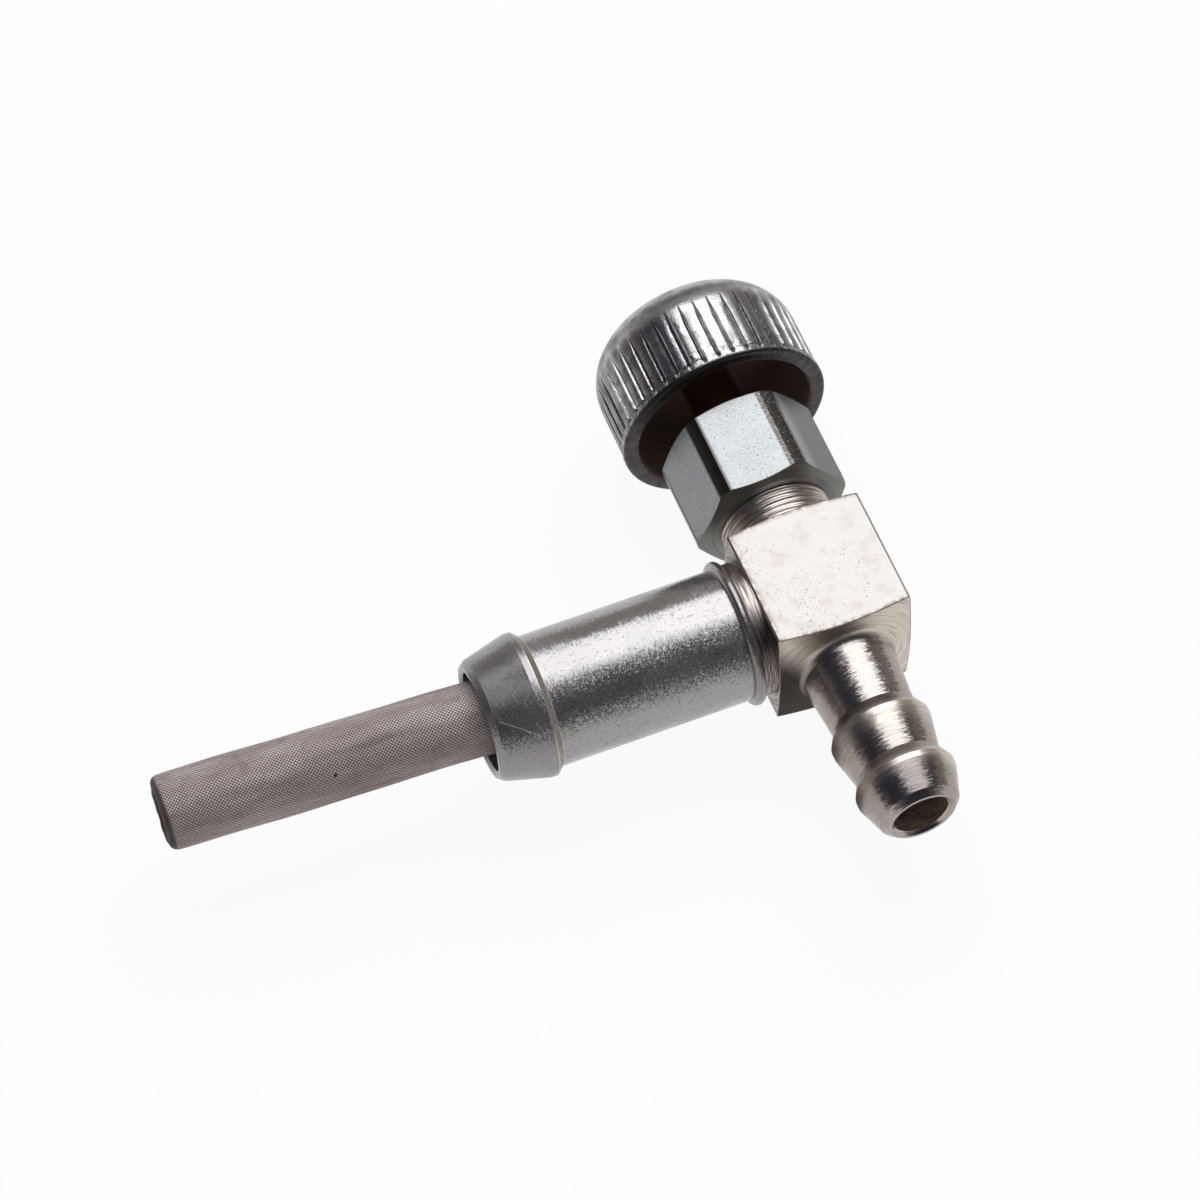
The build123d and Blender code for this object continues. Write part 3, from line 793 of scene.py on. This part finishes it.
def make_gauze():
    """Rings at a radius and a distance along the leaning axis.

    The wall's radius has three slow waves round it and along it, which only take away from the
    frame's radius. Inside the fold, pleats push the cloth in and out as a cosine of the angle.
    """
    tip = GAUZE_LENGTH
    inner_r = GAUZE_R - GAUZE_WALL
    floor = tip - GAUZE_TUCK
    wall = np.linspace(0.0, tip - GAUZE_ROUND, 60)
    rim = arc((GAUZE_R - GAUZE_ROUND, tip - GAUZE_ROUND), GAUZE_ROUND, 0, 100, 9)[1:]
    fold = np.array([
        (2.15, tip - 0.10), (1.98, tip - 0.28), (1.84, tip - 0.52), (1.66, tip - 0.80),
        (1.35, floor), (0.90, floor + 0.05), (0.45, floor + 0.02), (0.04, floor)])
    profile = np.concatenate([
        [(0.04, floor - 2 * GAUZE_WALL), (inner_r, floor - 2 * GAUZE_WALL), (inner_r, 0.0)],
        np.column_stack([np.full(wall.size, GAUZE_R), wall]), rim, fold])
    radius, along = profile[:, :1], profile[:, 1:]
    angle = np.linspace(0, 2 * math.pi, GAUZE_POINTS, endpoint=False)[None, :]
    outer = (np.arange(len(profile)) > 2)[:, None]
    waves = (0.030 * np.sin(2 * angle + along * 0.21)
             + 0.022 * np.sin(3 * angle - along * 0.37 + 1.0)
             + 0.014 * np.sin(5 * angle + along * 0.83 + 2.0) - 0.066)
    depth = np.clip((GAUZE_R - GAUZE_ROUND - radius) / GAUZE_R, 0, 1) * (along > tip - 2)
    pleat = np.cos(PLEATS * angle + 0.6 * np.sin(2 * angle)) + 0.5 * np.cos(3 * angle + 1.2)
    ring_radius = radius + outer * waves * np.clip(radius / GAUZE_R, 0, 1)
    ring_along = along + 0.16 * pleat * depth * np.clip(radius, 0, 1) - 0.05 * depth
    at_rim = np.clip((along - tip + GAUZE_ROUND + 0.25) / 0.4, 0, 1) * (radius > 1.5)
    lumps = 0.022 * (1 + np.sin(5 * angle + 0.5)) + 0.016 * (1 + np.sin(11 * angle + 2.0))
    notch = NOTCH_DEPTH * np.exp(-((angle - NOTCH_BEARING) / 0.13) ** 2)
    ring_along = ring_along - at_rim * (lumps + notch)
    ring_radius = ring_radius - at_rim * lumps
    rings = (
        gauze_root
        + ring_along[..., None] * gauze_axis
        + (ring_radius * np.cos(angle))[..., None] * gauze_side
        + (ring_radius * np.sin(angle))[..., None] * np.array([0, 0, 1]))
    lengths = np.concatenate([[0], np.cumsum(np.hypot(*np.diff(profile, axis=0).T))])
    seam = np.linspace(0, 2 * math.pi * GAUZE_R, GAUZE_POINTS + 1)
    chart = np.stack(np.broadcast_arrays(seam[None, :], lengths[:, None]), axis=-1)
    return surface("strainer_gauze", rings, chart=chart, sharp=60)


gauze = make_gauze()
gauze.data.materials.append(woven_wire)
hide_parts("filter_screen")
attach(gauze, "root")

# %% [markdown]
# Between the body and the nut a little of the stub's thread shows. The frame's stub has the
# thread's root diameter, and the ridge is wound over it: the radius follows a cosine of the height
# less the turn's share of the pitch, a little uneven because the crests are worn, and it runs out
# beside the body.

# %% Thread
THREAD_ROOT = 4.10
THREAD_CREST = 4.26
THREAD_PITCH = 0.46
THREAD_START = 5.32
THREAD_END = nut_low[1] - 0.02


def make_thread():
    """One closed sleeve: the ridged outside down the stub, then back up inside its root."""
    height = np.linspace(THREAD_START, THREAD_END, 58)[:, None]
    angle = np.radians(np.arange(0, 360, 2.5))[None, :]
    phase = (height / THREAD_PITCH - angle / (2 * math.pi)) % 1
    ridge = 0.6 - 0.4 * np.cos(2 * math.pi * phase) * (1 + 0.25 * np.sin(3 * angle + 4 * height))
    run_out = np.clip((height - THREAD_START) / 0.8, 0.35, 1)
    outside = THREAD_ROOT + (THREAD_CREST - THREAD_ROOT) * ridge * run_out
    rings = turn_round_valve(outside, height, angle)
    inside = turn_round_valve(np.full((2, angle.size), THREAD_ROOT - 0.05), height[[-1, 0]], angle)
    return surface("stub_thread", np.concatenate([rings, inside]), loop=True, sharp=50)


thread = make_thread()
thread.data.materials.append(turned_silver)
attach(thread, "root")

# %% [markdown]
# The knob's ribs are what the hand and the eye meet first. Each groove is a V that narrows and
# runs out to a point below the shoulder. The columns of the grid move with the groove's width,
# so its edges stay sharp from the rim to the point, and the ribs between stay smooth.

# %% Knob
GROOVE_DEPTH = 0.26
GROOVE_POINT_Y = 23.95
GROOVE_POINT_RUN = 1.9              # length over which a groove narrows to its point
GROOVE_FADE = 0.65                  # height over which the rolled band flattens the grooves
KNOB_LIP = 0.07                     # how far the rolled band stands out
KNOB_WALL = 1.15
KNOB_DIMPLE_R = 2.80
KNOB_HOLE_R = 1.50
RIM_ROUND = 0.32
CROWN_RISE = 0.175                  # the top's ridge round the dimple
DIMPLE_DEPTH = 0.60


def knob_profile():
    """Radius and height of the cup's section: over the top, down the side and up inside."""
    lip_r = (knob_high[0] - knob_low[0]) / 2
    side_r = lip_r - KNOB_LIP
    inner_r = side_r - KNOB_WALL
    rim = knob_low[1]
    top = knob_high[1] - CROWN_RISE
    shoulder_r = side_r - KNOB_CROWN_R
    shoulder = top - shoulder_r
    roof = top - DIMPLE_DEPTH
    side = np.linspace(shoulder, rim + BAND, 26)[1:]
    return np.concatenate([
        [(KNOB_HOLE_R, roof - KNOB_WALL), (KNOB_HOLE_R, roof), (KNOB_DIMPLE_R, roof),
         (KNOB_DIMPLE_R + 0.25, roof + 0.2), (KNOB_DIMPLE_R + DIMPLE_DEPTH - 0.1, top + 0.1),
         (KNOB_DIMPLE_R + DIMPLE_DEPTH + 0.1, top + CROWN_RISE)],
        arc((KNOB_CROWN_R, shoulder), shoulder_r, 90, 0, 26),
        np.column_stack([np.full(side.size, side_r), side]),
        [(lip_r, rim + BAND - KNOB_LIP), (lip_r, rim + 0.6), (lip_r, rim + 0.45)],
        arc((lip_r - RIM_ROUND, rim + RIM_ROUND), RIM_ROUND, 0, -90, 7),
        arc((inner_r + RIM_ROUND, rim + RIM_ROUND), RIM_ROUND, -90, -180, 7),
        [(inner_r, rim + 2.0), (inner_r, shoulder)],
        arc((KNOB_CROWN_R, shoulder), shoulder_r - KNOB_WALL, 0, 90, 12)[1:],
        [(KNOB_DIMPLE_R, top - KNOB_WALL), (KNOB_DIMPLE_R - 0.3, roof - KNOB_WALL)],
    ])


def make_knob():
    """Rings of 12 points to a groove: six across the V and six over the rib beside it.

    The V keeps its width up the side and narrows to its point over the last stretch, with its
    depth; the depth fades again over the rolled band. A point's depth in the V falls in a straight
    line from its middle to its edge.
    """
    profile = knob_profile()
    radius, height = profile[:, 0, None, None], profile[:, 1, None, None]
    rim = knob_low[1]
    outer = (radius > KNOB_CROWN_R + 2.9) & (
        np.arange(len(profile))[:, None, None] <= np.argmin(profile[:, 1]))
    point = np.clip((GROOVE_POINT_Y - height) / GROOVE_POINT_RUN, 0.02, 1)
    share = point * np.clip((height - rim - RIM_ROUND) / GROOVE_FADE, 0, 1)
    half_width = GROOVE_WIDTH / 2 * point / radius
    across = np.array([-1, -0.55, -0.12, 0.12, 0.55, 1])[None, None, :]
    over_rib = np.array([0.07, 0.2, 0.4, 0.6, 0.8, 0.93])[None, None, :]
    pitch = 2 * math.pi / GROOVES
    middle = GROOVE_FIRST + pitch * np.arange(GROOVES)[None, :, None]
    angle = np.concatenate([
        middle + half_width * across,
        middle + half_width + (pitch - 2 * half_width) * over_rib], axis=2)
    vee = np.concatenate([1 - np.abs(across), np.zeros(over_rib.shape)], axis=2)
    crown = np.concatenate([np.zeros(across.shape), np.sin(math.pi * over_rib)], axis=2)
    depth = GROOVE_DEPTH * share * vee + 0.03 * share * (1 - crown)
    cut = radius - outer * (point > 0.021) * depth
    rings = turn_round_valve(cut, height, angle)
    return surface("knob_cup", rings.reshape(len(profile), -1, 3), loop=True, sharp=38)


knob = make_knob()
knob.data.materials.append(knob_plating)
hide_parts("knob")
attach(knob, "spindle_and_knob")

# %% [markdown]
# The other pieces keep the frame's meshes, whose edges and fits are already right. They only get
# their finish.

# %% Finishes for the frame's own pieces
finishes = {
    "valve_body": turned_silver, "filter_ferrule": turned_silver, "inlet_stem": stem_zinc,
    "gland_nut": nut_zinc, "gland_follower": nut_zinc, "gland_packing": rubber,
    "valve_tip": rubber, "spindle": brass,
}
for node, finish in finishes.items():
    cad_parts[node].data.materials[0] = finish
print(len(finishes), "pieces of the frame have their finish")
